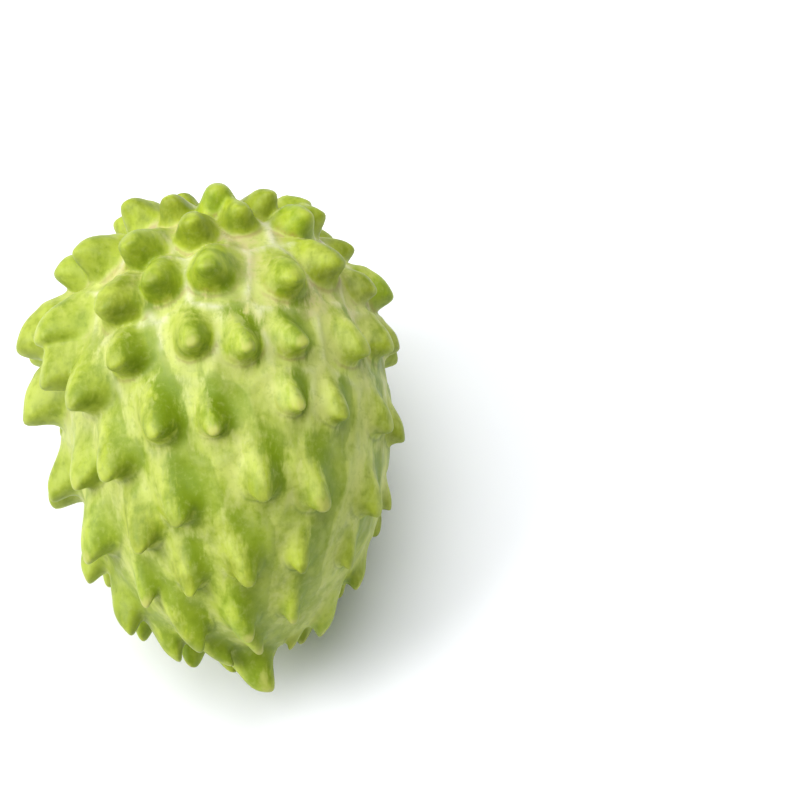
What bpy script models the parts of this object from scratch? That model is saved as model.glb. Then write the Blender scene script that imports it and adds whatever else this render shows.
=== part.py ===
"""An atemoya as picked, lying on its side.

The fruit grew as one piece, so it is one solid: an egg-shaped body, broad at the stalk and narrow at the
apex, with a blunt hooded spine over every carpel, low ridges between them, a beak at the apex, and a short
stump of stalk in a hollow. Every point of its skin comes from a direction out of the middle: the direction
gives a point of the bare body, and the spines near that point raise it and draw it towards the apex.

Sizes are in metres and +Z is up. The fruit lies along Y, with its stalk end to +Y and its apex to -Y. The
origin is on the surface that it lies on, under the middle of its box.
"""

import math
import random

import bmesh
import bpy
import numpy as np
from mathutils import Matrix

MM = 0.001

# the bare body: this wide and long, wider than an ellipsoid towards the stalk, and a little lumpy
BODY_WIDTH = 84 * MM
BODY_LENGTH = 116.5 * MM
GIRTH = 0.995
SHOULDER = 0.11
SHOULDER_ROUND = 0.03
LUMP = 0.8 * MM

# the hollow at the stalk, and the stump of stalk in it
HOLLOW_RADIUS = 9 * MM
HOLLOW_DEPTH = 3.2 * MM
STUMP_RADIUS = 3.6 * MM
STUMP_HEIGHT = 5.0 * MM
STUMP_SIDES = 12

# the rings of spines from the stalk to the apex: the way along the skin from the stalk, how many spines are
# in the ring, the angle of one of them from the top of the lying fruit in degrees, and their size
ROWS = [
    (11.5 * MM, 6, 10, 0.6),
    (21.5 * MM, 11, 0, 0.9),
    (34.0 * MM, 15, -9, 1.0),
    (50.0 * MM, 18, 1, 1.05),
    (67.5 * MM, 19, -10, 1.05),
    (86.0 * MM, 17, -1, 0.97),
    (105.0 * MM, 14, -14, 0.92),
    (122.5 * MM, 12, 7, 0.88),
    (138.0 * MM, 8, 0, 0.9),
    (148.0 * MM, 5, 10, 0.65),
]

# the draw keeps the spines from standing in perfect rings, and moves them less in the small rings
SEED = 8
WAY_WANDER = 4.2 * MM
ANGLE_WANDER = 5
STEADY_COUNT = 14
SIZE_WANDER = (0.1, 0.34)
TURN_WANDER = math.radians(16)

# the rings are slanted: nearer to the stalk on one side, where the spines are also smaller and lower, by
# these shares. All the spines are turned a little to that side
RING_SLANT = 5 * MM
ONE_SIDED = 0.08
LOW_SIDED = 0.34
TURN = math.radians(-9)

# the longest spines stand in a clump on one side: its middle's way from the stalk and angle from the top,
# how far it spreads, as an angle seen from the middle of the fruit, and how much larger its spines grow
CLUMP_WAY = 66 * MM
CLUMP_ANGLE = math.radians(-94)
CLUMP_SPREAD = math.radians(21)
CLUMP_SWELL = 0.4

# the apex is bent to one side, more so near its end, and the beak on it is drawn the same way
APEX_BEND = 5.0 * MM
APEX_BEND_POWER = 8
BEAK_SIZE = 0.9
BEAK_HEIGHT = 10.5 * MM
BEAK_LEAN = 2.0 * MM

# one spine: its height, how far its tip is drawn towards the apex, and its foot's reach along the skin,
# at the stalk and at the apex
SPINE_HEIGHT = (9.6 * MM, 4.9 * MM)
SPINE_LEAN = (1.8 * MM, 5.4 * MM)
SPINE_REACH = (5.8 * MM, 4.7 * MM)
FRONT_REACH = 0.92
BACK_REACH = (1.4, 2.3)
HOOK = 1.35

# its outline: a finger on a broad low foot. The finger has this share of the height and this share of the
# reach, at the stalk and at the apex. Its flank is drawn between a pointed one and a blunt one
FINGER_SHARE = (0.74, 0.62)
FINGER_REACH = (0.78, 0.52)
FINGER_FLANK = (2.8, 3.8)
FOOT_FLANK = 3.6

# how far the spines keep apart where their feet meet: 1 would pile them up, and more leaves the taller one
APARTNESS = 3

# the low ridges of the net between the spines: their height at the stalk and at the apex
RIDGE_HEIGHT = (0.7 * MM, 0)
RIDGE_HALF_WIDTH = 1.8 * MM

# the points of the skin: rings round each spine, in reaches from its middle, with the points in each, rings
# round the stump's axis, in its radii, and the skin between them
RINGS = [(0.27, 6), (0.50, 7), (0.78, 9), (1.14, 11)]
STUMP_RINGS = (0.5, 0.86, 1.14, 1.7)
BETWEEN = 3.9 * MM
CLEAR_OF_RINGS = 1.38
CLOSEST_POINTS = 0.014

# how the fruit lies: its apex dips, and its lowest spines are pressed flat
DIP = math.radians(14)
PRESSED = 2.7 * MM

SKIN_COLOUR = (0.36, 0.45, 0.07, 1.0)
SKIN_ROUGHNESS = 0.5


def lengths(vectors):
    return np.sqrt((vectors * vectors).sum(axis=-1))


def unit(vectors):
    return vectors / np.maximum(lengths(vectors), 1e-12)[..., None]


def half_width(z):
    """The bare body's half width where the direction's height is z: -1 at the apex, 1 at the stalk."""
    return BODY_WIDTH / 2 * (GIRTH + SHOULDER * z + SHOULDER_ROUND * z * z)


def body_points(directions):
    """The points of the bare body over the directions. Its stalk points to +Z."""
    x, y, z = directions.T
    width = half_width(z)
    points = np.stack([width * x, width * y, BODY_LENGTH / 2 * z], axis=1)
    lumps = LUMP * (np.cos(3 * x + 1.7) * np.cos(2.6 * y - 0.4) + np.cos(4.1 * z + 2 * x) - 0.6)
    from_stalk = np.hypot(points[:, 0], points[:, 1])
    hollow = np.where(z > 0, HOLLOW_DEPTH * np.exp(-((from_stalk / HOLLOW_RADIUS) ** 2)), 0)
    points += directions * lumps[:, None]
    points[:, 2] -= hollow
    points[:, 0] += APEX_BEND * np.clip(-z, 0, 1) ** APEX_BEND_POWER
    return points


def directions_of(points):
    """The directions whose body points are nearest to points close to the skin."""
    z = np.clip(points[:, 2] / (BODY_LENGTH / 2), -1, 1)
    width = half_width(z)
    return unit(np.stack([points[:, 0] / width, points[:, 1] / width, z], axis=1))


def skin_axes(directions):
    """The bare body's outward normal, and the ways towards the apex and across it, at the directions."""
    step = 0.01
    down = np.array([0, 0, -1.0]) + directions * directions[:, 2:3]
    down = unit(np.where(lengths(down)[:, None] > 1e-6, down, np.array([1.0, 0, 0])))
    side = np.cross(down, directions)
    along = body_points(unit(directions + down * step)) - body_points(unit(directions - down * step))
    across = body_points(unit(directions + side * step)) - body_points(unit(directions - side * step))
    normal = unit(np.cross(along, across))
    normal *= np.sign((normal * directions).sum(axis=1))[:, None]
    along = unit(along)
    return normal, along, np.cross(along, normal)


def polar_angle(way):
    """The angle from the stalk to the point that is this far along the skin from it."""
    angles = np.linspace(0, math.pi, 721)
    heights = np.cos(angles)
    outline = np.stack([half_width(heights) * np.sin(angles), BODY_LENGTH / 2 * heights], axis=1)
    walked = np.concatenate([[0], np.cumsum(lengths(np.diff(outline, axis=0)))])
    return float(np.interp(way, walked, angles))


def direction_at(polar, angle):
    """The direction at this angle from the stalk and this angle round from the top of the lying fruit."""
    return np.array([
        math.sin(polar) * math.sin(angle),
        -math.sin(polar) * math.cos(angle),
        math.cos(polar),
    ])


def between(ends, polar):
    """A value between the one at the stalk and the one at the apex."""
    return ends[0] + (ends[1] - ends[0]) * polar / math.pi


class Spine:
    """One carpel's spine: where it stands on the bare body, how it is turned, and its size."""

    def __init__(self, polar, angle, size, turn, flank):
        low_side = 1 - LOW_SIDED * max(0, math.sin(polar) * math.sin(angle))
        self.direction = direction_at(polar, angle)
        here = self.direction[None, :]
        self.base = body_points(here)[0]
        normal, along, across = (axis[0] for axis in skin_axes(here))
        self.normal = normal
        self.along = along * math.cos(turn) + across * math.sin(turn)
        self.across = np.cross(self.along, normal)
        self.height = low_side * size * between(SPINE_HEIGHT, polar)
        self.lean = low_side * size * between(SPINE_LEAN, polar)
        self.reach = size * between(SPINE_REACH, polar)
        self.back = self.reach * between(BACK_REACH, polar)
        self.front = self.reach * FRONT_REACH
        self.finger = between(FINGER_SHARE, polar)
        self.finger_reach = between(FINGER_REACH, polar)
        self.flank = flank

    def distance(self, points):
        """How far points of the body are from the spine's middle, in its own reaches."""
        offset = points - self.base
        ahead = offset @ self.along
        ahead = ahead / np.where(ahead > 0, self.front, self.back)
        aside = offset @ self.across / self.reach
        below = offset @ self.normal / self.reach
        return np.sqrt(ahead**2 + aside**2 + below**2)

    def share(self, points):
        """The share of the spine's height that it has over points of the body."""
        distance = self.distance(points)
        finger = np.exp(-((distance / self.finger_reach) ** self.flank))
        foot = np.exp(-(distance**FOOT_FLANK))
        return self.finger * finger + (1 - self.finger) * foot

    def ring(self, distance, count, turned):
        """The points of the body round the spine's middle at a distance in reaches."""
        angles = 2 * math.pi * (np.arange(count) + turned) / count
        ahead = distance * np.cos(angles)
        ahead = ahead * np.where(ahead > 0, self.front, self.back)
        aside = distance * np.sin(angles) * self.reach
        return self.base + ahead[:, None] * self.along + aside[:, None] * self.across


def grow_spines():
    """All the spines, row by row from the stalk to the apex, and the beak."""
    draw = random.Random(SEED)
    clump = direction_at(polar_angle(CLUMP_WAY), CLUMP_ANGLE)
    spines = []
    for way, count, first, row_size in ROWS:
        freedom = min(1, count / STEADY_COUNT) ** 2
        for k in range(count):
            angle = math.radians(first + 360 * k / count + draw.uniform(-ANGLE_WANDER, ANGLE_WANDER))
            shift = draw.uniform(-WAY_WANDER, WAY_WANDER) - RING_SLANT * math.sin(angle)
            polar = polar_angle(way + freedom * shift)
            wander = between(SIZE_WANDER, polar)
            size = row_size * (1 + draw.uniform(-wander, wander) - ONE_SIDED * math.sin(angle))
            turn = TURN + draw.uniform(-TURN_WANDER, TURN_WANDER)
            flank = draw.uniform(*FINGER_FLANK)
            from_clump = math.acos(clump @ direction_at(polar, angle))
            size *= 1 + CLUMP_SWELL * math.exp(-((from_clump / CLUMP_SPREAD) ** 2))
            spines.append(Spine(polar, angle, size, turn, flank))
    beak = Spine(math.pi, 0, BEAK_SIZE, 0, FINGER_FLANK[0])
    beak.height = BEAK_HEIGHT
    beak.lean = BEAK_LEAN
    spines.append(beak)
    return spines


def skin_points(directions, spines):
    """The points of the finished skin over the directions: body, ridges, spines and stump."""
    points = body_points(directions)
    normals = skin_axes(directions)[0]
    weights = np.full(len(points), 1e-30)
    lean = np.zeros(points.shape)
    nearest = np.full(len(points), 1.0)
    second = np.full(len(points), 1.0)
    for spine in spines:
        share = spine.share(points)
        weight = (spine.height * share) ** APARTNESS
        weights += weight
        lean += spine.along * (weight * spine.lean * share**HOOK)[:, None]
        away = lengths(points - spine.base)
        second = np.minimum(second, np.maximum(nearest, away))
        nearest = np.minimum(nearest, away)
    rise = weights ** (1 / APARTNESS)
    lean /= weights[:, None]
    ridge_height = between(RIDGE_HEIGHT, np.arccos(np.clip(directions[:, 2], -1, 1)))
    rise += ridge_height * np.exp(-(((second - nearest) / RIDGE_HALF_WIDTH) ** 2))
    skin = points + normals * rise[:, None] + lean
    on_stump = (np.hypot(points[:, 0], points[:, 1]) < STUMP_RADIUS) & (directions[:, 2] > 0)
    skin[on_stump] = points[on_stump] + np.array([0, 0, STUMP_HEIGHT])
    return skin


def even_directions(spacing):
    """Directions that are spread evenly, about this far apart on the body, along a spiral from the stalk."""
    count = int(math.pi * BODY_WIDTH * BODY_LENGTH / (spacing**2 * math.sqrt(0.75)))
    z = 1 - (2 * np.arange(count) + 1) / count
    angles = np.arange(count) * math.pi * (3 - math.sqrt(5))
    across = np.sqrt(1 - z * z)
    return np.stack([across * np.cos(angles), across * np.sin(angles), z], axis=1)


def net_directions(spines):
    """The directions of all the skin's points: the spines' tips and rings, the skin between, the stump."""
    found = [np.array([spine.direction for spine in spines])]
    for spine in spines:
        for k, (distance, count) in enumerate(RINGS):
            found.append(directions_of(spine.ring(distance, count, 0.5 * (k % 2))))
    skin = even_directions(BETWEEN)
    points = body_points(skin)
    clear = np.ones(len(skin), dtype=bool)
    for spine in spines:
        clear &= spine.distance(points) > CLEAR_OF_RINGS
    found.append(skin[clear])
    angles = 2 * math.pi * np.arange(STUMP_SIDES) / STUMP_SIDES
    for share in STUMP_RINGS:
        edge = share * STUMP_RADIUS * np.stack([np.cos(angles), np.sin(angles)], axis=1)
        found.append(directions_of(np.column_stack([edge, np.full(STUMP_SIDES, BODY_LENGTH / 2)])))
    return np.concatenate(found)


def skin_mesh(spines):
    """The skin as one closed mesh: a round net over the directions, with each point moved to the skin."""
    net = bmesh.new()
    for direction in net_directions(spines):
        net.verts.new(direction)
    bmesh.ops.remove_doubles(net, verts=net.verts, dist=CLOSEST_POINTS)
    for vert in net.verts:
        vert.co.normalize()
    bmesh.ops.convex_hull(net, input=net.verts)
    inside = [vert for vert in net.verts if not vert.link_faces]
    bmesh.ops.delete(net, geom=inside, context="VERTS")
    skin = skin_points(np.array([vert.co for vert in net.verts], dtype=float), spines)
    for vert, point in zip(net.verts, skin):
        vert.co = point
    bmesh.ops.recalc_face_normals(net, faces=net.faces)
    mesh = bpy.data.meshes.new("fruit")
    net.to_mesh(mesh)
    net.free()
    return mesh


def lay_down(mesh):
    """Turns the mesh onto its side and sets it over the origin, its lowest spines PRESSED below z = 0."""
    mesh.transform(Matrix.Rotation(DIP - math.radians(90), 4, "X"))
    corners = np.array([vert.co for vert in mesh.vertices])
    low, high = corners.min(axis=0), corners.max(axis=0)
    middle = (low + high) / 2
    mesh.transform(Matrix.Translation((-middle[0], -middle[1], -low[2] - PRESSED)))


def skin_material():
    material = bpy.data.materials.new("skin")
    material.use_nodes = True
    shader = material.node_tree.nodes["Principled BSDF"]
    shader.inputs["Base Color"].default_value = SKIN_COLOUR
    shader.inputs["Roughness"].default_value = SKIN_ROUGHNESS
    material.diffuse_color = SKIN_COLOUR
    return material


def floor_cutter(collection):
    """A box below z = 0 that presses the lowest spines flat."""
    size = 2 * BODY_LENGTH
    bpy.ops.mesh.primitive_cube_add(size=size, location=(0, 0, -size / 2))
    cutter = bpy.context.active_object
    cutter.name = "floor_cut"
    for other in list(cutter.users_collection):
        other.objects.unlink(cutter)
    collection.objects.link(cutter)
    cutter.hide_render = True
    cutter.display_type = "WIRE"
    return cutter


def new_collection(name):
    collection = bpy.data.collections.new(name)
    bpy.context.scene.collection.children.link(collection)
    return collection


def make_fruit(collection, cutter):
    mesh = skin_mesh(grow_spines())
    lay_down(mesh)
    mesh.materials.append(skin_material())
    mesh.shade_smooth()
    fruit = bpy.data.objects.new("fruit", mesh)
    collection.objects.link(fruit)
    pressing = fruit.modifiers.new("pressed flat", "BOOLEAN")
    pressing.operation = "DIFFERENCE"
    pressing.object = cutter
    return fruit


def main():
    for obj in list(bpy.data.objects):
        bpy.data.objects.remove(obj)
    cutters = new_collection("cutters")
    make_fruit(new_collection("atemoya"), floor_cutter(cutters))


main()
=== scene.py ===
"""The looks of an atemoya lying on its side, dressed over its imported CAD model.

The rind is one fine skin over the whole fruit. It repeats the form of the CAD solid, with a closer net of
points, and adds what the solid leaves out: ripples in the rind, broad dents, and the dry point on each spine.
Marks on its points say how far each one is from its spine's middle, and whether it lies ahead of it or to its
left, and the material colours the rind by them. The stump of the stalk is a piece of its own. The fruit lies
along Y, with its stalk end to +Y, and sizes are in metres.
"""

import math
import random

import bmesh
import bpy
import numpy as np
from mathutils import Matrix, Vector, noise


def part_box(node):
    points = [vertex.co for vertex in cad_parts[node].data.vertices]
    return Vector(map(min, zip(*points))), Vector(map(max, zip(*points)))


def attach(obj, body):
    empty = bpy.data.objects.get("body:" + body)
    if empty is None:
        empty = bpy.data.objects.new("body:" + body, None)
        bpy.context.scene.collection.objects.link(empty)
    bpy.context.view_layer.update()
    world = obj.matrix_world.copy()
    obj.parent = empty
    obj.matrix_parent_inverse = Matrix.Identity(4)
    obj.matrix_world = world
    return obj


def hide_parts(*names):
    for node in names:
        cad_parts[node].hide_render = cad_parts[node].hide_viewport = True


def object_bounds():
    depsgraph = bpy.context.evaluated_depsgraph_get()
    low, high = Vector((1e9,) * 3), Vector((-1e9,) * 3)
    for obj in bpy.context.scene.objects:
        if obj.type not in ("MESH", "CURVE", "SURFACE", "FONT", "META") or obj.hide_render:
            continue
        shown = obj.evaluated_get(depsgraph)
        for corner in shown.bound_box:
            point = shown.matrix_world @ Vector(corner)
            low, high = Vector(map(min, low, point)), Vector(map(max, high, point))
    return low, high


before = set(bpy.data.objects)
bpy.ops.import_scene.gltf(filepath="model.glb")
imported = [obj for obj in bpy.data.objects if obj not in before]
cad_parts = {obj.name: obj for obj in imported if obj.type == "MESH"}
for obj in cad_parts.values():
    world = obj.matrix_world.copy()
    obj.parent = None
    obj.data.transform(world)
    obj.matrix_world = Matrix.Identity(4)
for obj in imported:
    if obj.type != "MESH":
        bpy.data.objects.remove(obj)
CAD_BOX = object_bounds()

bl_info = {
    "name": "Atemoya",
    "version": (1, 0, 0),
    "blender": (4, 5, 0),
    "location": "View3D > Sidebar > Atemoya",
    "description": "Dresses the packed atemoya: its rind, the stump of its stalk, and a plain studio",
    "category": "Add Mesh",
}

MM = 0.001

# the bare body: this wide and long, wider than an ellipsoid towards the stalk, and a little lumpy
BODY_WIDTH = 84 * MM
BODY_LENGTH = 116.5 * MM
GIRTH = 0.995
SHOULDER = 0.11
SHOULDER_ROUND = 0.03
LUMP = 0.8 * MM

# the hollow at the stalk, and the stump of stalk in it
HOLLOW_RADIUS = 9 * MM
HOLLOW_DEPTH = 3.2 * MM
STUMP_RADIUS = 3.6 * MM
STUMP_HEIGHT = 5.0 * MM
STUMP_ROOT = 2.0 * MM
STUMP_SIDES = 20
STUMP_RINGS = 6

# its cut end: a bevelled edge, then rings set in, of which two step down towards the pith. The colour of the
# cut end covers this share of the radius, down to this share of the stump's depth
STUMP_BEVEL = 0.5 * MM
PITH_INSETS = (0.7 * MM, 0.9 * MM, 0.8 * MM)
PITH_DROPS = (0.5 * MM, 0, 0.3 * MM)
CUT_SHARE = 0.84
CUT_DEPTH = 0.3

# its side: fibres that run down it, a root that swells, and a slanted top
FIBRES_ROUND = 3
FIBRES_PER_M = 40
FIBRE_SWELL = 0.16
ROOT_SWELL = 0.22
TOP_SLANT = 0.5 * MM

# the rings of spines from the stalk to the apex: the way along the skin from the stalk, how many spines are
# in the ring, the angle of one of them from the top of the lying fruit in degrees, and their size
ROWS = [
    (11.5 * MM, 6, 10, 0.6),
    (21.5 * MM, 11, 0, 0.9),
    (34.0 * MM, 15, -9, 1.0),
    (50.0 * MM, 18, 1, 1.05),
    (67.5 * MM, 19, -10, 1.05),
    (86.0 * MM, 17, -1, 0.97),
    (105.0 * MM, 14, -14, 0.92),
    (122.5 * MM, 12, 7, 0.88),
    (138.0 * MM, 8, 0, 0.9),
    (148.0 * MM, 5, 10, 0.65),
]

# the draw keeps the spines from standing in perfect rings, and moves them less in the small rings
SEED = 8
WAY_WANDER = 4.2 * MM
ANGLE_WANDER = 5
STEADY_COUNT = 14
SIZE_WANDER = (0.1, 0.34)
TURN_WANDER = math.radians(16)

# the rings are slanted: nearer to the stalk on one side, where the spines are also smaller and lower, by
# these shares. All the spines are turned a little to that side
RING_SLANT = 5 * MM
ONE_SIDED = 0.08
LOW_SIDED = 0.34
TURN = math.radians(-9)

# the longest spines stand in a clump on one side
CLUMP_WAY = 66 * MM
CLUMP_ANGLE = math.radians(-94)
CLUMP_SPREAD = math.radians(21)
CLUMP_SWELL = 0.4

# the apex is bent to one side, more so near its end, and the beak on it is drawn the same way
APEX_BEND = 5.0 * MM
APEX_BEND_POWER = 8
BEAK_SIZE = 0.9
BEAK_HEIGHT = 10.5 * MM
BEAK_LEAN = 2.0 * MM

# one spine: its height, how far its tip is drawn towards the apex, and its foot's reach along the skin,
# at the stalk and at the apex
SPINE_HEIGHT = (9.6 * MM, 4.9 * MM)
SPINE_LEAN = (1.8 * MM, 5.4 * MM)
SPINE_REACH = (5.8 * MM, 4.7 * MM)
FRONT_REACH = 0.92
BACK_REACH = (1.4, 2.3)
HOOK = 1.35

# its outline: a finger on a broad low foot. The finger has this share of the height and this share of the
# reach, at the stalk and at the apex. Its flank is drawn between a pointed one and a blunt one
FINGER_SHARE = (0.74, 0.62)
FINGER_REACH = (0.78, 0.52)
FINGER_FLANK = (2.8, 3.8)
FOOT_FLANK = 3.6
APARTNESS = 3

# the low ridges of the net between the spines: their height at the stalk and at the apex
RIDGE_HEIGHT = (0.7 * MM, 0)
RIDGE_HALF_WIDTH = 1.8 * MM

# how firmly a spine holds the mark of its own sides against its neighbours
ASIDE_HOLD = 0.7

# the noises that colour the rind: the size of their patches, and how far some are drawn out along the fruit
PATCH_SIZE = 11 * MM
CLOUD_SIZE = 4 * MM
CLOUD_STRETCH = 1.6
MOTTLE_SIZE = 1.7 * MM
STREAK_SIZE = 2.6 * MM
STREAK_STRETCH = 3.4
GRAIN_SIZE = 0.8 * MM
FIBRE_SIZE = 0.5 * MM
FIBRE_STRETCH = 8

# from left to right across the fruit: where the paler left side is palest and where it ends, and where the
# deep green beside the spines is weakest and where it is full. The paler left side is paler skin with painted
# light where the side light falls, and the deep green is painted shade over the rind's own deeper green
PALE_AND_LIT_CHEEK = (-46 * MM, -6 * MM)
GREEN_AND_SHADE_RISE = (-42 * MM, -8 * MM)

# how far the ripples and the dents are drawn out along the fruit, and where their noises start
RIPPLE_STRETCH = 3.2
RIPPLE_START = 4.0
DENT_STRETCH = 1.3
DENT_START = 9.0
FIBRE_START = 2.0

# a number too small to matter, added where a sum would otherwise be divided by nothing
TINY = 1e-30

# how the fruit lies: its apex dips
DIP = math.radians(14)

# the cube that the rind starts as is cut twice, and its points are drawn in to the spines
FIRST_CUTS = 31
SECOND_CUTS = 3
GATHER = 0.5
GATHER_REACH = 1.35

# the photograph's frame, and the pixel in it that the middle of the fruit's height stands on
PHOTO_PX = 800
PX_PER_M = 3930.0
FRUIT_PX = (212.0, 432.0)

# the share of a colour in the photograph that is the rind's own, where the rest is the strength of the light
LIT = 0.72


def screen(red, green, blue):
    """A colour named by its values on a screen, 0 to 255, as the linear values that Blender works in."""
    return tuple(
        value / 12.92 if value <= 0.04045 else ((value + 0.055) / 1.055) ** 2.4
        for value in (red / 255, green / 255, blue / 255)
    )


def skin(red, green, blue):
    """The rind's own colour where the photograph shows this one under its strong light."""
    return tuple(LIT * value for value in screen(red, green, blue))


def lengths(vectors):
    return np.sqrt((vectors * vectors).sum(axis=-1))


def unit(vectors):
    return vectors / np.maximum(lengths(vectors), 1e-12)[..., None]


# the form of the fruit, as in the CAD model


def half_width(z):
    """The bare body's half width where the direction's height is z: -1 at the apex, 1 at the stalk."""
    return BODY_WIDTH / 2 * (GIRTH + SHOULDER * z + SHOULDER_ROUND * z * z)


def body_points(directions):
    """The points of the bare body over the directions. Its stalk points to +Z."""
    x, y, z = directions.T
    width = half_width(z)
    points = np.stack([width * x, width * y, BODY_LENGTH / 2 * z], axis=1)
    lumps = LUMP * (np.cos(3 * x + 1.7) * np.cos(2.6 * y - 0.4) + np.cos(4.1 * z + 2 * x) - 0.6)
    from_stalk = np.hypot(points[:, 0], points[:, 1])
    hollow = np.where(z > 0, HOLLOW_DEPTH * np.exp(-((from_stalk / HOLLOW_RADIUS) ** 2)), 0)
    points += directions * lumps[:, None]
    points[:, 2] -= hollow
    points[:, 0] += APEX_BEND * np.clip(-z, 0, 1) ** APEX_BEND_POWER
    return points


def skin_axes(directions):
    """The bare body's outward normal, and the ways towards the apex and across it, at the directions."""
    step = 0.01
    down = np.array([0, 0, -1.0]) + directions * directions[:, 2:3]
    down = unit(np.where(lengths(down)[:, None] > 1e-6, down, np.array([1.0, 0, 0])))
    side = np.cross(down, directions)
    along = body_points(unit(directions + down * step)) - body_points(unit(directions - down * step))
    across = body_points(unit(directions + side * step)) - body_points(unit(directions - side * step))
    normal = unit(np.cross(along, across))
    normal *= np.sign((normal * directions).sum(axis=1))[:, None]
    along = unit(along)
    return normal, along, np.cross(along, normal)


def polar_angle(way):
    """The angle from the stalk to the point that is this far along the skin from it."""
    angles = np.linspace(0, math.pi, 721)
    heights = np.cos(angles)
    outline = np.stack([half_width(heights) * np.sin(angles), BODY_LENGTH / 2 * heights], axis=1)
    walked = np.concatenate([[0], np.cumsum(lengths(np.diff(outline, axis=0)))])
    return float(np.interp(way, walked, angles))


def direction_at(polar, angle):
    """The direction at this angle from the stalk and this angle round from the top of the lying fruit."""
    return np.array([
        math.sin(polar) * math.sin(angle),
        -math.sin(polar) * math.cos(angle),
        math.cos(polar),
    ])


def between(ends, polar):
    """A value between the one at the stalk and the one at the apex."""
    return ends[0] + (ends[1] - ends[0]) * polar / math.pi


class Spine:
    """One carpel's spine: where it stands on the bare body, how it is turned, and its size."""

    def __init__(self, polar, angle, size, turn, flank):
        low_side = 1 - LOW_SIDED * max(0, math.sin(polar) * math.sin(angle))
        self.direction = direction_at(polar, angle)
        here = self.direction[None, :]
        self.base = body_points(here)[0]
        normal, along, across = (axis[0] for axis in skin_axes(here))
        self.normal = normal
        self.along = along * math.cos(turn) + across * math.sin(turn)
        self.across = np.cross(self.along, normal)
        self.height = low_side * size * between(SPINE_HEIGHT, polar)
        self.lean = low_side * size * between(SPINE_LEAN, polar)
        self.reach = size * between(SPINE_REACH, polar)
        self.back = self.reach * between(BACK_REACH, polar)
        self.front = self.reach * FRONT_REACH
        self.finger = between(FINGER_SHARE, polar)
        self.finger_reach = between(FINGER_REACH, polar)
        self.flank = flank

    def place(self, points):
        """How far points of the body are from the spine's middle, ahead of it and to its left.

        All three are in the spine's own reaches.
        """
        offset = points - self.base
        ahead = offset @ self.along
        ahead = ahead / np.where(ahead > 0, self.front, self.back)
        aside = offset @ self.across / self.reach
        below = offset @ self.normal / self.reach
        return np.sqrt(ahead**2 + aside**2 + below**2), ahead, aside

    def share(self, distance):
        """The share of the spine's height that it has at a distance from its middle."""
        finger = np.exp(-((distance / self.finger_reach) ** self.flank))
        foot = np.exp(-(distance**FOOT_FLANK))
        return self.finger * finger + (1 - self.finger) * foot


def grow_spines():
    """All the spines, row by row from the stalk to the apex, and the beak."""
    draw = random.Random(SEED)
    clump = direction_at(polar_angle(CLUMP_WAY), CLUMP_ANGLE)
    spines = []
    for way, count, first, row_size in ROWS:
        freedom = min(1, count / STEADY_COUNT) ** 2
        for k in range(count):
            angle = math.radians(first + 360 * k / count + draw.uniform(-ANGLE_WANDER, ANGLE_WANDER))
            shift = draw.uniform(-WAY_WANDER, WAY_WANDER) - RING_SLANT * math.sin(angle)
            polar = polar_angle(way + freedom * shift)
            wander = between(SIZE_WANDER, polar)
            size = row_size * (1 + draw.uniform(-wander, wander) - ONE_SIDED * math.sin(angle))
            turn = TURN + draw.uniform(-TURN_WANDER, TURN_WANDER)
            flank = draw.uniform(*FINGER_FLANK)
            from_clump = math.acos(clump @ direction_at(polar, angle))
            size *= 1 + CLUMP_SWELL * math.exp(-((from_clump / CLUMP_SPREAD) ** 2))
            spines.append(Spine(polar, angle, size, turn, flank))
    beak = Spine(math.pi, 0, BEAK_SIZE, 0, FINGER_FLANK[0])
    beak.height = BEAK_HEIGHT
    beak.lean = BEAK_LEAN
    spines.append(beak)
    return spines


# the fine skin over that form


def gather(directions, spines):
    """Draws the directions in to the spines, so that more of the rind's points stand on them."""
    moved = directions.copy()
    for spine in spines:
        reach = GATHER_REACH * spine.reach / (BODY_WIDTH / 2)
        offset = directions - spine.direction
        pull = GATHER * np.exp(-((lengths(offset) / reach) ** 2))
        moved -= offset * pull[:, None]
    return unit(moved)


def ripples(points, size, stretch, seed):
    """A smooth noise over the points, about this far from ripple to ripple, drawn out along the fruit."""
    scale = Vector((1 / size, 1 / size, 1 / (size * stretch)))
    start = Vector((seed, 2 * seed, 3 * seed))
    return np.array([noise.noise(Vector(point) * scale + start) for point in points])


def grow_skin(directions, spines):
    """The points of the skin over the directions, the way out of it there, and the marks of the spines."""
    points = body_points(directions)
    normals = skin_axes(directions)[0]
    count = len(points)
    weights = np.full(count, TINY)
    lean = np.zeros(points.shape)
    nearest = np.full(count, 1.0)
    second = np.full(count, 1.0)
    tallest = np.zeros(count)
    marks = {"edge": np.full(count, 2.0), "ahead": np.zeros(count), "tint": np.zeros(count)}
    aside_sum = np.zeros(count)
    holds = np.full(count, TINY)
    draw = random.Random(SEED)
    for spine in spines:
        distance, ahead, aside = spine.place(points)
        share = spine.share(distance)
        weight = (spine.height * share) ** APARTNESS
        weights += weight
        lean += spine.along * (weight * spine.lean * share**HOOK)[:, None]
        away = lengths(points - spine.base)
        second = np.minimum(second, np.maximum(nearest, away))
        nearest = np.minimum(nearest, away)
        own = weight > tallest
        tallest[own] = weight[own]
        marks["edge"][own] = distance[own]
        marks["ahead"][own] = ahead[own]
        marks["tint"][own] = draw.random()
        hold = np.exp(-ASIDE_HOLD * distance**2)
        holds += hold
        aside_sum += hold * aside
    rise = weights ** (1 / APARTNESS)
    lean /= weights[:, None]
    marks["aside"] = aside_sum / holds
    marks["net"] = np.exp(-(((second - nearest) / RIDGE_HALF_WIDTH) ** 2))
    marks["way"] = np.arccos(np.clip(directions[:, 2], -1, 1)) / math.pi
    marks["from_tip"] = nearest / MM
    rise += between(RIDGE_HEIGHT, math.pi * marks["way"]) * marks["net"]
    return points + normals * rise[:, None] + lean, normals, marks


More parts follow.
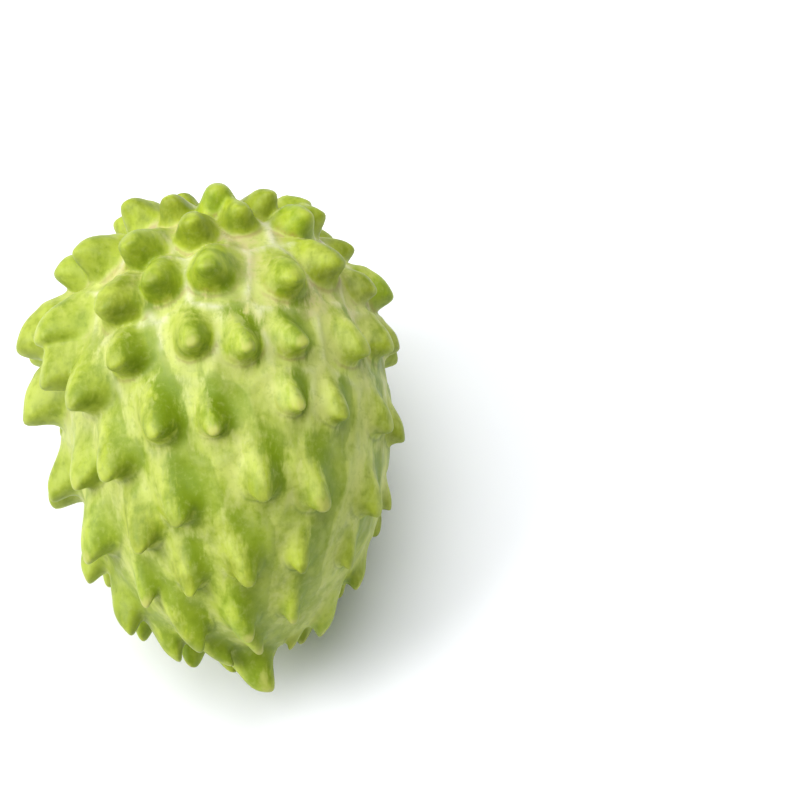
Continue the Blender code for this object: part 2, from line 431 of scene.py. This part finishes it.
def add_relief(points, normals, marks, relief):
    """The skin's points with the dry points on its spines, its ripples and its broad dents."""
    dry_points = np.exp(-((marks["from_tip"] * MM / relief.tip_size) ** 4))
    long_ripples = ripples(points, relief.ripple_size, RIPPLE_STRETCH, RIPPLE_START)
    dents = ripples(points, relief.dent_size, DENT_STRETCH, DENT_START)
    rise = relief.tip_height * dry_points * marks["way"]
    rise += relief.ripple_height * long_ripples + relief.dent_depth * dents
    return points + normals * rise[:, None]


def mesh_points(mesh):
    """The places of all the points of a mesh, one row for each."""
    flat = np.empty(3 * len(mesh.vertices))
    mesh.vertices.foreach_get("co", flat)
    return flat.reshape(-1, 3)


def laid_on_solid(points, spines):
    """Points of the growing form, turned onto the fruit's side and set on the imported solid.

    The outermost tips of the spines show how far the form reaches. They are set against the solid's sides
    and top.
    """
    turn = np.array(Matrix.Rotation(DIP - math.radians(90), 3, "X"))
    tips = grow_skin(np.array([spine.direction for spine in spines]), spines)[0] @ turn.T
    low, high = tips.min(axis=0), tips.max(axis=0)
    box_low, box_high = (np.array(corner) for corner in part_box("fruit"))
    move = (box_low + box_high - low - high) / 2
    move[2] = box_high[2] - high[2]
    return points @ turn.T + move


def deselect_all():
    bpy.ops.object.select_all(action="DESELECT")


def select_faces(mesh, wanted):
    """Selects, in edit mode, only the faces that are wanted."""
    bpy.ops.mesh.select_mode(type="FACE")
    bpy.ops.mesh.select_all(action="DESELECT")
    net = bmesh.from_edit_mesh(mesh)
    for face in net.faces:
        if wanted(face):
            face.select_set(True)
    bmesh.update_edit_mesh(mesh)


def set_mark(mesh, name, values):
    """Keeps one value for each point of the mesh, for the material to read."""
    mark = mesh.attributes.new(name, "FLOAT", "POINT")
    mark.data.foreach_set("value", values.astype(np.float32))


# materials


class Graph:
    """Adds nodes to a material, one line for each."""

    def __init__(self, name):
        self.material = bpy.data.materials.new(name)
        self.material.use_nodes = True
        self.tree = self.material.node_tree
        self.shader = self.tree.nodes["Principled BSDF"]

    def put(self, socket, value):
        """Sets an input socket: to a link if the value is a socket, and else to the value itself."""
        if isinstance(value, bpy.types.NodeSocket):
            self.tree.links.new(value, socket)
        elif isinstance(value, (tuple, list)) and len(value) == 3 and socket.type == "RGBA":
            socket.default_value = (*value, 1)
        else:
            socket.default_value = value

    def add(self, kind, settings=(), **inputs):
        node = self.tree.nodes.new(kind)
        for name, value in dict(settings).items():
            setattr(node, name, value)
        for name, value in inputs.items():
            self.put(node.inputs[name.replace("_", " ")], value)
        return node

    def mark(self, name):
        """A value kept on the points of the mesh."""
        return self.add("ShaderNodeAttribute", {"attribute_name": name}).outputs["Fac"]

    def place(self, stretch=1.0):
        """The place on the object, drawn out along the fruit."""
        here = self.add("ShaderNodeTexCoord").outputs["Object"]
        node = self.add("ShaderNodeMapping", {"vector_type": "TEXTURE"}, Vector=here, Rotation=(DIP, 0, 0),
                        Scale=(1, stretch, 1))
        return node.outputs[0]

    def noise(self, place, size, detail=3.0, roughness=0.55):
        """A noise from 0 to 1 whose patches are about this size."""
        node = self.add("ShaderNodeTexNoise", Vector=place, Scale=1 / size, Detail=detail,
                        Roughness=roughness)
        return node.outputs["Fac"]

    def math(self, operation, first, second):
        node = self.add("ShaderNodeMath", {"operation": operation})
        self.put(node.inputs[0], first)
        self.put(node.inputs[1], second)
        return node.outputs[0]

    def times(self, first, *others):
        """The product of the values."""
        for other in others:
            first = self.math("MULTIPLY", first, other)
        return first

    def waver(self, noise, breadth):
        """A noise from 0 to 1, made to run about 0 and this broad."""
        return self.times(self.math("SUBTRACT", noise, 0.5), breadth)

    def step(self, value, low, high, bottom=0.0, top=1.0):
        """Runs smoothly from the bottom to the top as the value goes from low to high."""
        node = self.add("ShaderNodeMapRange", {"interpolation_type": "SMOOTHSTEP"})
        self.put(node.inputs["Value"], value)
        self.put(node.inputs["From Min"], low)
        self.put(node.inputs["From Max"], high)
        self.put(node.inputs["To Min"], bottom)
        self.put(node.inputs["To Max"], top)
        return node.outputs["Result"]

    def band(self, value, low, full, full_end, high):
        """Runs smoothly from 0 to 1 as the value goes from low to full, and back to 0 by high."""
        return self.times(self.step(value, low, full), self.step(value, full_end, high, 1.0, 0.0))

    def mix(self, share, first, second):
        """One colour over another by a share from 0 to 1."""
        node = self.add("ShaderNodeMix", {"data_type": "RGBA"})
        self.put(node.inputs[0], share)
        self.put(node.inputs[6], first)
        self.put(node.inputs[7], second)
        return node.outputs[2]


def rind_material(colours):
    """Green spines in a pale net, mottled and streaked along the fruit, with dry points and a waxy sheen."""
    graph = Graph("waxy_rind")
    edge = graph.mark("edge")
    ahead = graph.mark("ahead")
    aside = graph.mark("aside")
    tint = graph.mark("tint")
    way = graph.mark("way")
    from_tip = graph.mark("from_tip")
    here = graph.place()
    across = graph.add("ShaderNodeSeparateXYZ", Vector=here).outputs["X"]
    patches = graph.noise(here, PATCH_SIZE, detail=2)
    clouds = graph.noise(graph.place(CLOUD_STRETCH), CLOUD_SIZE, detail=3)
    mottle = graph.noise(here, MOTTLE_SIZE, detail=4, roughness=0.6)
    streaks = graph.noise(graph.place(STREAK_STRETCH), STREAK_SIZE, detail=4, roughness=0.6)

    # the green covers a spine to its foot: with a soft edge ahead of it, and fading out behind it
    reach = graph.math("ADD", edge, graph.waver(clouds, 0.4))
    crisp = graph.step(reach, 0.96, 1.24, 1.0, 0.0)
    torn = graph.math("ADD", edge, graph.waver(streaks, 1.4))
    faded = graph.step(torn, 0.5, 1.55, 1.0, 0.0)
    green = graph.step(ahead, -0.7, 0.2, faded, crisp)

    # the skin between the spines: cream at the stalk with paler ridges, yellow-green below
    half = graph.math("ADD", way, graph.waver(patches, 0.5))
    high_half = graph.step(half, 0.3, 0.62, 1.0, 0.0)
    body = graph.mix(graph.step(clouds, 0.36, 0.62), colours.flesh_green[:], colours.flesh_bright[:])
    body = graph.mix(graph.step(streaks, 0.46, 0.7, 0.0, 0.55), body, colours.veil[:])
    net = graph.mix(graph.step(clouds, 0.42, 0.66, 0.0, 0.7), colours.net[:], colours.flesh_bright[:])
    body = graph.mix(high_half, body, net)
    pale = graph.times(
        graph.mark("net"),
        graph.step(clouds, 0.36, 0.64, 1.0, 0.5),
        graph.step(half, 0.25, 0.55, 1.0, 0.06),
    )
    body = graph.mix(pale, body, colours.pale_net[:])

    # a warm flush in the net, and painted shade under each spine: brownish towards the stalk, deep green
    # below
    flush = graph.times(
        graph.step(patches, 0.42, 0.62),
        graph.step(mottle, 0.34, 0.6, 0.2, 0.8),
        graph.step(way, 0.3, 0.5, 1.0, 0.1),
    )
    body = graph.mix(flush, body, colours.flush[:])
    painted_shade = graph.times(graph.band(reach, 1.08, 1.2, 1.2, 1.42), graph.step(ahead, 0.2, 0.8, 0.0, 0.5))
    under = graph.mix(high_half, colours.spine_deep[:], colours.painted_shade[:])
    body = graph.mix(painted_shade, body, under)

    # the spines: each has its own tint, brighter and deeper patches, a bright foot and pale streaks
    spine = graph.mix(tint, colours.spine_olive[:], colours.spine_green[:])
    spine = graph.mix(graph.step(clouds, 0.44, 0.66, 0.0, 0.7), spine, colours.spine_bright[:])
    spine = graph.mix(graph.step(clouds, 0.5, 0.3, 0.0, 0.45), spine, colours.spine_deep[:])
    spine = graph.mix(graph.step(reach, 0.75, 1.1, 0.0, 0.6), spine, colours.spine_bright[:])
    spine = graph.mix(graph.step(streaks, 0.5, 0.72, 0.0, 0.4), spine, colours.flesh_bright[:])
    colour = graph.mix(green, body, spine)

    # away from the stalk, the skin is deep green to the right of each spine, painted shade over the rind's
    # own deeper green, and pale to its left, a painted highlight, in streaks; and a pale ridge runs up from
    # each point, the rind's pale bloom with a painted highlight on it. Both pale parts are weaker towards the
    # apex
    low_half = graph.step(half, 0.24, 0.44)
    pale_half = graph.times(low_half, graph.step(half, 0.5, 0.8, 1.0, 0.35))
    tangle = graph.waver(streaks, 2.4)
    lopsided = graph.math("ADD", aside, tangle)
    # painted shade: deep green to the right of each spine, weaker on the lit left side of the fruit
    right = graph.times(
        graph.step(lopsided, 0.05, -0.5),
        graph.step(edge, 1.1, 1.9, 1.0, 0.5),
        graph.step(across, *GREEN_AND_SHADE_RISE, 0.3, 1.0),
        graph.step(half, 0.5, 0.8, 1.0, 0.7),
        low_half,
    )
    colour = graph.mix(right, colour, colours.flank[:])
    # painted highlight: pale to the left of each spine
    left = graph.times(
        graph.step(lopsided, 0.05, 0.65),
        graph.step(edge, 0.4, 1.0, 0.2, 0.6),
        graph.step(edge, 1.2, 1.9, 1.0, 0.3),
        graph.step(clouds, 0.36, 0.62, 0.5, 1.0),
        pale_half,
    )
    colour = graph.mix(left, colour, colours.bloom_and_highlight[:])
    from_line = graph.math("ADD", graph.math("ABSOLUTE", aside, 0), tangle)
    # painted highlight along the ridge behind each point, over the rind's pale bloom
    bloom_and_highlight = graph.times(
        graph.step(from_line, 0.1, 0.4, 1.0, 0.0),
        graph.step(ahead, 0.1, -0.4),
        graph.step(edge, 0.9, 1.5, 0.4, 0.1),
        graph.step(clouds, 0.34, 0.62, 0.15, 1.0),
        pale_half,
    )
    colour = graph.mix(bloom_and_highlight, colour, colours.bloom_and_highlight[:])

    # a warm dry margin along the left edge of some spines
    rim = graph.times(
        graph.band(reach, 0.82, 1.0, 1.02, 1.12),
        graph.step(graph.math("ADD", aside, ahead), 0.3, 1.1),
        graph.step(tint, 0.4, 0.7, 0.1, 0.6),
        graph.step(way, 0.3, 0.45, 1.0, 0.3),
        graph.step(mottle, 0.34, 0.6, 0.3, 1.0),
    )
    colour = graph.mix(rim, colour, colours.rim[:])

    # the left side of the fruit is paler all over: paler skin with painted light where the side light falls
    pale_and_lit_cheek = graph.times(graph.step(across, *PALE_AND_LIT_CHEEK, 0.6, 0.0), graph.step(clouds, 0.3, 0.6, 0.35, 1.0))
    pale_and_lit_cheek_colour = graph.mix(green, colours.bloom_and_highlight[:], colours.flesh_bright[:])
    colour = graph.mix(pale_and_lit_cheek, colour, pale_and_lit_cheek_colour)

    # fine mottling over all, and the soft dry points
    colour = graph.mix(graph.step(mottle, 0.5, 0.74, 0.0, 0.25), colour, colours.veil[:])
    dark = graph.times(graph.step(mottle, 0.5, 0.28), graph.step(green, 0, 1, 0.25, 0.3))
    colour = graph.mix(dark, colour, colours.spine_deep[:])
    point = graph.math("ADD", from_tip, graph.waver(streaks, 6.0))
    dry = graph.times(
        graph.step(point, 0.2, 2.2, 1.0, 0.0),
        graph.step(tint, 0.3, 0.7, 0.1, 0.75),
        graph.step(way, 0.3, 0.5, 0.35, 1.0),
    )
    colour = graph.mix(dry, colour, colours.dry_tip[:])
    graph.put(graph.shader.inputs["Base Color"], colour)

    rough = graph.step(mottle, 0.3, 0.7, 0.42, 0.56)
    graph.put(graph.shader.inputs["Roughness"], rough)
    grain = graph.add("ShaderNodeBump", Height=graph.noise(here, GRAIN_SIZE, detail=4), Strength=0.25,
                      Distance=0.12 * MM)
    wrinkles = graph.add("ShaderNodeBump", Height=mottle, Strength=0.3, Distance=0.2 * MM,
                         Normal=grain.outputs[0])
    graph.put(graph.shader.inputs["Normal"], wrinkles.outputs[0])
    graph.shader.inputs["Specular IOR Level"].default_value = 0.28
    graph.shader.inputs["Subsurface Weight"].default_value = 0.1
    graph.shader.inputs["Subsurface Radius"].default_value = (1.0, 0.9, 0.3)
    graph.shader.inputs["Subsurface Scale"].default_value = 2.0 * MM
    return graph.material


def stalk_material(colours):
    """Dry brown stalk with fibres running along it and a paler cut end."""
    graph = Graph("dry_stalk")
    here = graph.place()
    fibres = graph.noise(graph.place(FIBRE_STRETCH), FIBRE_SIZE, detail=5)
    spots = graph.noise(here, 1.2 * MM, detail=4)
    bark = graph.mix(graph.step(fibres, 0.35, 0.65), colours.bark_dark[:], colours.bark[:])
    colour = graph.mix(graph.mark("cut"), bark, colours.cut_wood[:])
    colour = graph.mix(graph.step(spots, 0.55, 0.75, 0.0, 0.5), colour, colours.bark_dark[:])
    graph.put(graph.shader.inputs["Base Color"], colour)
    graph.shader.inputs["Roughness"].default_value = 0.8
    bump = graph.add("ShaderNodeBump", Height=fibres, Strength=0.6, Distance=0.4 * MM)
    graph.put(graph.shader.inputs["Normal"], bump.outputs[0])
    return graph.material


def floor_material(colour):
    """Plain matt paper."""
    graph = Graph("matt_paper")
    graph.put(graph.shader.inputs["Base Color"], colour)
    graph.shader.inputs["Roughness"].default_value = 0.9
    graph.shader.inputs["Specular IOR Level"].default_value = 0.1
    return graph.material


# settings


def size_property(name, description, default):
    return bpy.props.FloatProperty(
        name=name, description=description, default=default, min=0, unit="LENGTH", precision=5)


def colour_property(name, description, default):
    return bpy.props.FloatVectorProperty(
        name=name, description=description, default=default, min=0, max=1, subtype="COLOR")


def angle_property(name, description, degrees):
    return bpy.props.FloatProperty(
        name=name, description=description, default=math.radians(degrees), subtype="ANGLE")


def strength_property(name, description, default):
    return bpy.props.FloatProperty(name=name, description=description, default=default, min=0)


class RindRelief(bpy.types.PropertyGroup):
    """What the rind adds to the form of the solid."""

    tip_size: size_property("Dry point size", "Half the width of the dry point on a spine", 1.1 * MM)
    tip_height: size_property("Dry point height", "How far the dry point stands up", 0.15 * MM)
    ripple_size: size_property("Ripple size", "From one ripple of the rind to the next", 4.5 * MM)
    ripple_height: size_property("Ripple height", "Height of the ripples", 0.22 * MM)
    dent_size: size_property("Dent size", "From one broad dent to the next", 9 * MM)
    dent_depth: size_property("Dent depth", "Depth of the broad dents", 0.75 * MM)


class RindColours(bpy.types.PropertyGroup):
    """The colours of the rind."""

    net: colour_property("Net", "Skin between the spines at the stalk end", skin(216, 226, 122))
    pale_net: colour_property("Pale net", "Pale ridges and flecks", skin(240, 240, 196))
    flesh_green: colour_property("Body", "Skin between the spines at the apex", skin(162, 183, 46))
    flesh_bright: colour_property("Bright body", "Lighter patches of it", skin(198, 213, 88))
    veil: colour_property("Veil", "The pale waxy bloom over it", skin(206, 216, 122))
    # painted highlight: the pale of a spine's lit left side and ridge, over the rind's pale bloom; also the
    # painted light on the left side of the fruit
    bloom_and_highlight: colour_property("Crest", "Behind a spine's point and to its left", skin(230, 234, 142))
    flush: colour_property("Flush", "Warmer patches of the net", skin(226, 210, 152))
    # painted shade under a spine, towards the stalk
    painted_shade: colour_property("Crease", "The crease under a spine", skin(176, 150, 84))
    rim: colour_property("Dry edge", "The dry margin at the edge of a spine", skin(152, 120, 52))
    spine_olive: colour_property("Olive spines", "The duller of the spines", skin(160, 174, 42))
    spine_green: colour_property("Green spines", "The greener of the spines", skin(164, 189, 38))
    spine_bright: colour_property("Bright green", "Patches and streaks on the spines", skin(194, 212, 58))
    # painted shade: the deep green to the right of a spine, over the rind's own deeper green
    flank: colour_property("Flank", "The skin to the right of a spine", skin(130, 157, 2))
    spine_deep: colour_property("Deep green", "Darker patches on the spines", skin(116, 141, 8))
    dry_tip: colour_property("Dry point", "The dry point on a spine", skin(212, 212, 112))


class StalkColours(bpy.types.PropertyGroup):
    """The colours of the stump of the stalk."""

    bark: colour_property("Bark", "Side of the stump", screen(138, 112, 72))
    bark_dark: colour_property("Dark bark", "Cracks in the stump's side", screen(78, 58, 36))
    cut_wood: colour_property("Cut wood", "Cut end of the stump", screen(176, 150, 104))


class StudioSettings(bpy.types.PropertyGroup):
    """The floor, the camera and the light."""

    floor_size: size_property("Floor size", "Side of the floor", 6.0)
    floor_colour: colour_property("Floor colour", "Colour of the floor", (0.92, 0.93, 0.96))
    camera_elevation: angle_property("Camera elevation", "Angle of the camera above the floor", 64)
    camera_lean: angle_property("Camera lean", "Turn of the camera round its own line of sight", 2.5)
    camera_distance: size_property("Camera distance", "From the camera to the fruit", 0.75)
    overhead_strength: strength_property("Overhead light", "Strength of the broad light overhead", 2.7)
    overhead_breadth: angle_property("Overhead breadth", "How wide that light looks from the fruit", 55)
    overhead_tilt: angle_property("Overhead tilt", "How far that light hangs to the left", 6)
    overhead_back: angle_property("Overhead back", "How far that light hangs behind the fruit", 15)
    side_strength: strength_property("Side light", "Strength of the light from the left", 2.5)
    side_breadth: angle_property("Side breadth", "How wide that light looks from the fruit", 36)
    side_tilt: angle_property("Side tilt", "How far from overhead the side light hangs", 50)
    side_turn: angle_property("Side turn", "Its way round the fruit, where 0 is the camera's side", -84)
    sky_strength: strength_property("Sky", "Strength of the light from all round", 0.3)
    sky_colour: colour_property("Sky colour", "Colour of the light from all round", (0.91, 0.94, 1.0))


# operators


class ATEMOYA_OT_rind(bpy.types.Operator):
    """Grows the rind over the whole fruit in place of the plain solid."""

    bl_idname = "atemoya.rind"
    bl_label = "Rind"

    def execute(self, context):
        deselect_all()
        bpy.ops.mesh.primitive_cube_add(size=2)
        rind = context.active_object
        rind.name = "fruit_rind"
        bpy.ops.object.mode_set(mode="EDIT")
        bpy.ops.mesh.select_all(action="SELECT")
        bpy.ops.mesh.subdivide(number_cuts=FIRST_CUTS)
        bpy.ops.mesh.subdivide(number_cuts=SECOND_CUTS)
        bpy.ops.transform.tosphere(value=1)
        bpy.ops.object.mode_set(mode="OBJECT")
        mesh = rind.data
        for layer in list(mesh.uv_layers):
            mesh.uv_layers.remove(layer)

        spines = grow_spines()
        directions = gather(unit(mesh_points(mesh)), spines)
        points, normals, marks = grow_skin(directions, spines)
        points = laid_on_solid(add_relief(points, normals, marks, context.scene.atemoya_relief), spines)
        points[:, 2] = np.maximum(points[:, 2], 0)
        mesh.vertices.foreach_set("co", points.ravel())
        for name, values in marks.items():
            set_mark(mesh, name, values)
        mesh.update()
        bpy.ops.object.shade_smooth()
        mesh.materials.append(rind_material(context.scene.atemoya_rind))
        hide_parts("fruit")
        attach(rind, "root")
        return {"FINISHED"}


class ATEMOYA_OT_studio(bpy.types.Operator):
    """Lays the floor and sets up the light and the camera."""

    bl_idname = "atemoya.studio"
    bl_label = "Studio"

    def execute(self, context):
        studio = context.scene.atemoya_studio
        deselect_all()
        bpy.ops.mesh.primitive_plane_add(size=studio.floor_size)
        floor = context.active_object
        floor.name = "floor"
        floor.data.materials.append(floor_material(studio.floor_colour[:]))
        self.light(context.scene, studio)
        self.aim_camera(context.scene, studio)
        context.scene.view_settings.view_transform = "Standard"
        return {"FINISHED"}

    def light(self, scene, studio):
        """A broad light overhead, a side light from the left, and an even sky."""
        above = (-studio.overhead_back, -studio.overhead_tilt, 0)
        left = (studio.side_tilt, 0, studio.side_turn)
        lamps = (
            ("overhead_light", studio.overhead_strength, studio.overhead_breadth, above),
            ("side_light", studio.side_strength, studio.side_breadth, left),
        )
        for name, strength, breadth, rotation in lamps:
            bpy.ops.object.light_add(type="SUN", rotation=rotation)
            lamp = bpy.context.active_object
            lamp.name = name
            lamp.data.energy = strength
            lamp.data.angle = breadth
        world = bpy.data.worlds.new("sky")
        world.use_nodes = True
        sky = world.node_tree.nodes["Background"]
        sky.inputs["Color"].default_value = (*studio.sky_colour, 1)
        sky.inputs["Strength"].default_value = studio.sky_strength
        scene.world = world

    def aim_camera(self, scene, studio):
        """Sets the camera so that the fruit stands in the frame as it does in the photograph."""
        elevation = studio.camera_elevation
        back = Vector((0, -math.cos(elevation), math.sin(elevation)))
        lean = Matrix.Rotation(studio.camera_lean, 3, back)
        right = lean.inverted() @ Vector((1, 0, 0))
        up = back.cross(right)
        middle = Vector((0, 0, CAD_BOX[1][2] / 2))
        aside, below = ((px - PHOTO_PX / 2) / PX_PER_M for px in FRUIT_PX)
        aim = middle - right * aside + up * below
        bpy.ops.object.camera_add(location=aim + back * studio.camera_distance)
        camera = bpy.context.active_object
        camera.name = "camera"
        camera.rotation_euler = Matrix((right, up, back)).transposed().to_euler()
        camera.data.lens = camera.data.sensor_width * studio.camera_distance * PX_PER_M / PHOTO_PX
        scene.camera = camera


class ATEMOYA_OT_stalk(bpy.types.Operator):
    """Stands the dry stump of the stalk in its hollow."""

    bl_idname = "atemoya.stalk"
    bl_label = "Stalk stump"

    def execute(self, context):
        root = body_points(np.array([[0, 0, 1.0]]))[0]
        depth = STUMP_HEIGHT + STUMP_ROOT
        deselect_all()
        bpy.ops.mesh.primitive_cylinder_add(
            vertices=STUMP_SIDES, radius=STUMP_RADIUS, depth=depth,
            location=(root[0], root[1], root[2] - STUMP_ROOT + depth / 2))
        stump = context.active_object
        stump.name = "stalk_stump"
        bpy.ops.object.transform_apply(location=True, rotation=True, scale=True)
        mesh = stump.data
        top = root[2] + STUMP_HEIGHT
        bpy.ops.object.mode_set(mode="EDIT")
        for k in range(1, STUMP_RINGS):
            bpy.ops.mesh.select_all(action="SELECT")
            height = top - depth * k / STUMP_RINGS
            bpy.ops.mesh.bisect(plane_co=(0, 0, height), plane_no=(0, 0, 1))
        select_faces(mesh, lambda face: face.calc_center_median().z > top - 0.1 * MM)
        bpy.ops.mesh.bevel(offset=STUMP_BEVEL, segments=3, affect="EDGES")
        select_faces(mesh, lambda face: face.calc_center_median().z > top - 0.01 * MM)
        for inset, drop in zip(PITH_INSETS, PITH_DROPS):
            bpy.ops.mesh.inset(thickness=inset)
            bpy.ops.transform.translate(value=(0, 0, -drop))
        bpy.ops.object.mode_set(mode="OBJECT")
        rounding = stump.modifiers.new("rounding", "SUBSURF")
        rounding.levels = rounding.render_levels = 2
        bpy.ops.object.modifier_apply(modifier=rounding.name)

        points = mesh_points(mesh)
        from_axis = points[:, :2] - root[:2]
        radius = lengths(from_axis)
        angle = np.arctan2(from_axis[:, 1], from_axis[:, 0])
        down = np.clip((top - points[:, 2]) / depth, 0, 1)
        unrolled = (FIBRES_ROUND * np.cos(angle), FIBRES_ROUND * np.sin(angle), FIBRES_PER_M * points[:, 2])
        fibres = ripples(np.stack(unrolled, axis=1), 1, 1, FIBRE_START)
        swell = 1 + FIBRE_SWELL * fibres + ROOT_SWELL * down**3
        points[:, :2] = root[:2] + from_axis * swell[:, None]
        points[:, 2] += TOP_SLANT * np.sin(2 * angle + 1) * radius / STUMP_RADIUS * (1 - down)
        set_mark(mesh, "cut", ((radius < CUT_SHARE * STUMP_RADIUS) & (down < CUT_DEPTH)).astype(float))
        mesh.vertices.foreach_set("co", laid_on_solid(points, grow_spines()).ravel())
        mesh.update()
        bpy.ops.object.shade_smooth()
        mesh.materials.append(stalk_material(context.scene.atemoya_stalk))
        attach(stump, "root")
        return {"FINISHED"}


def panel_rows(layout, group):
    """One row in the panel for each setting of a group."""
    for name in group.__annotations__:
        layout.prop(group, name)


class ATEMOYA_PT_panel(bpy.types.Panel):
    """Lists the steps that dress the fruit, with their settings."""

    bl_label = "Atemoya"
    bl_idname = "ATEMOYA_PT_panel"
    bl_space_type = "VIEW_3D"
    bl_region_type = "UI"
    bl_category = "Atemoya"

    def draw(self, context):
        scene = context.scene
        self.layout.operator(ATEMOYA_OT_rind.bl_idname)
        panel_rows(self.layout, scene.atemoya_relief)
        panel_rows(self.layout, scene.atemoya_rind)
        self.layout.operator(ATEMOYA_OT_stalk.bl_idname)
        panel_rows(self.layout, scene.atemoya_stalk)
        self.layout.operator(ATEMOYA_OT_studio.bl_idname)
        panel_rows(self.layout, scene.atemoya_studio)


GROUPS = {
    "atemoya_relief": RindRelief,
    "atemoya_rind": RindColours,
    "atemoya_stalk": StalkColours,
    "atemoya_studio": StudioSettings,
}
OPERATORS = (ATEMOYA_OT_rind, ATEMOYA_OT_stalk, ATEMOYA_OT_studio)


def register():
    for kind in (*GROUPS.values(), *OPERATORS, ATEMOYA_PT_panel):
        bpy.utils.register_class(kind)
    for name, group in GROUPS.items():
        setattr(bpy.types.Scene, name, bpy.props.PointerProperty(type=group))


def unregister():
    for name in GROUPS:
        delattr(bpy.types.Scene, name)
    for kind in reversed((*GROUPS.values(), *OPERATORS, ATEMOYA_PT_panel)):
        bpy.utils.unregister_class(kind)


def main():
    register()
    bpy.ops.atemoya.rind()
    bpy.ops.atemoya.stalk()
    bpy.ops.atemoya.studio()


if __name__ == "__main__":
    main()
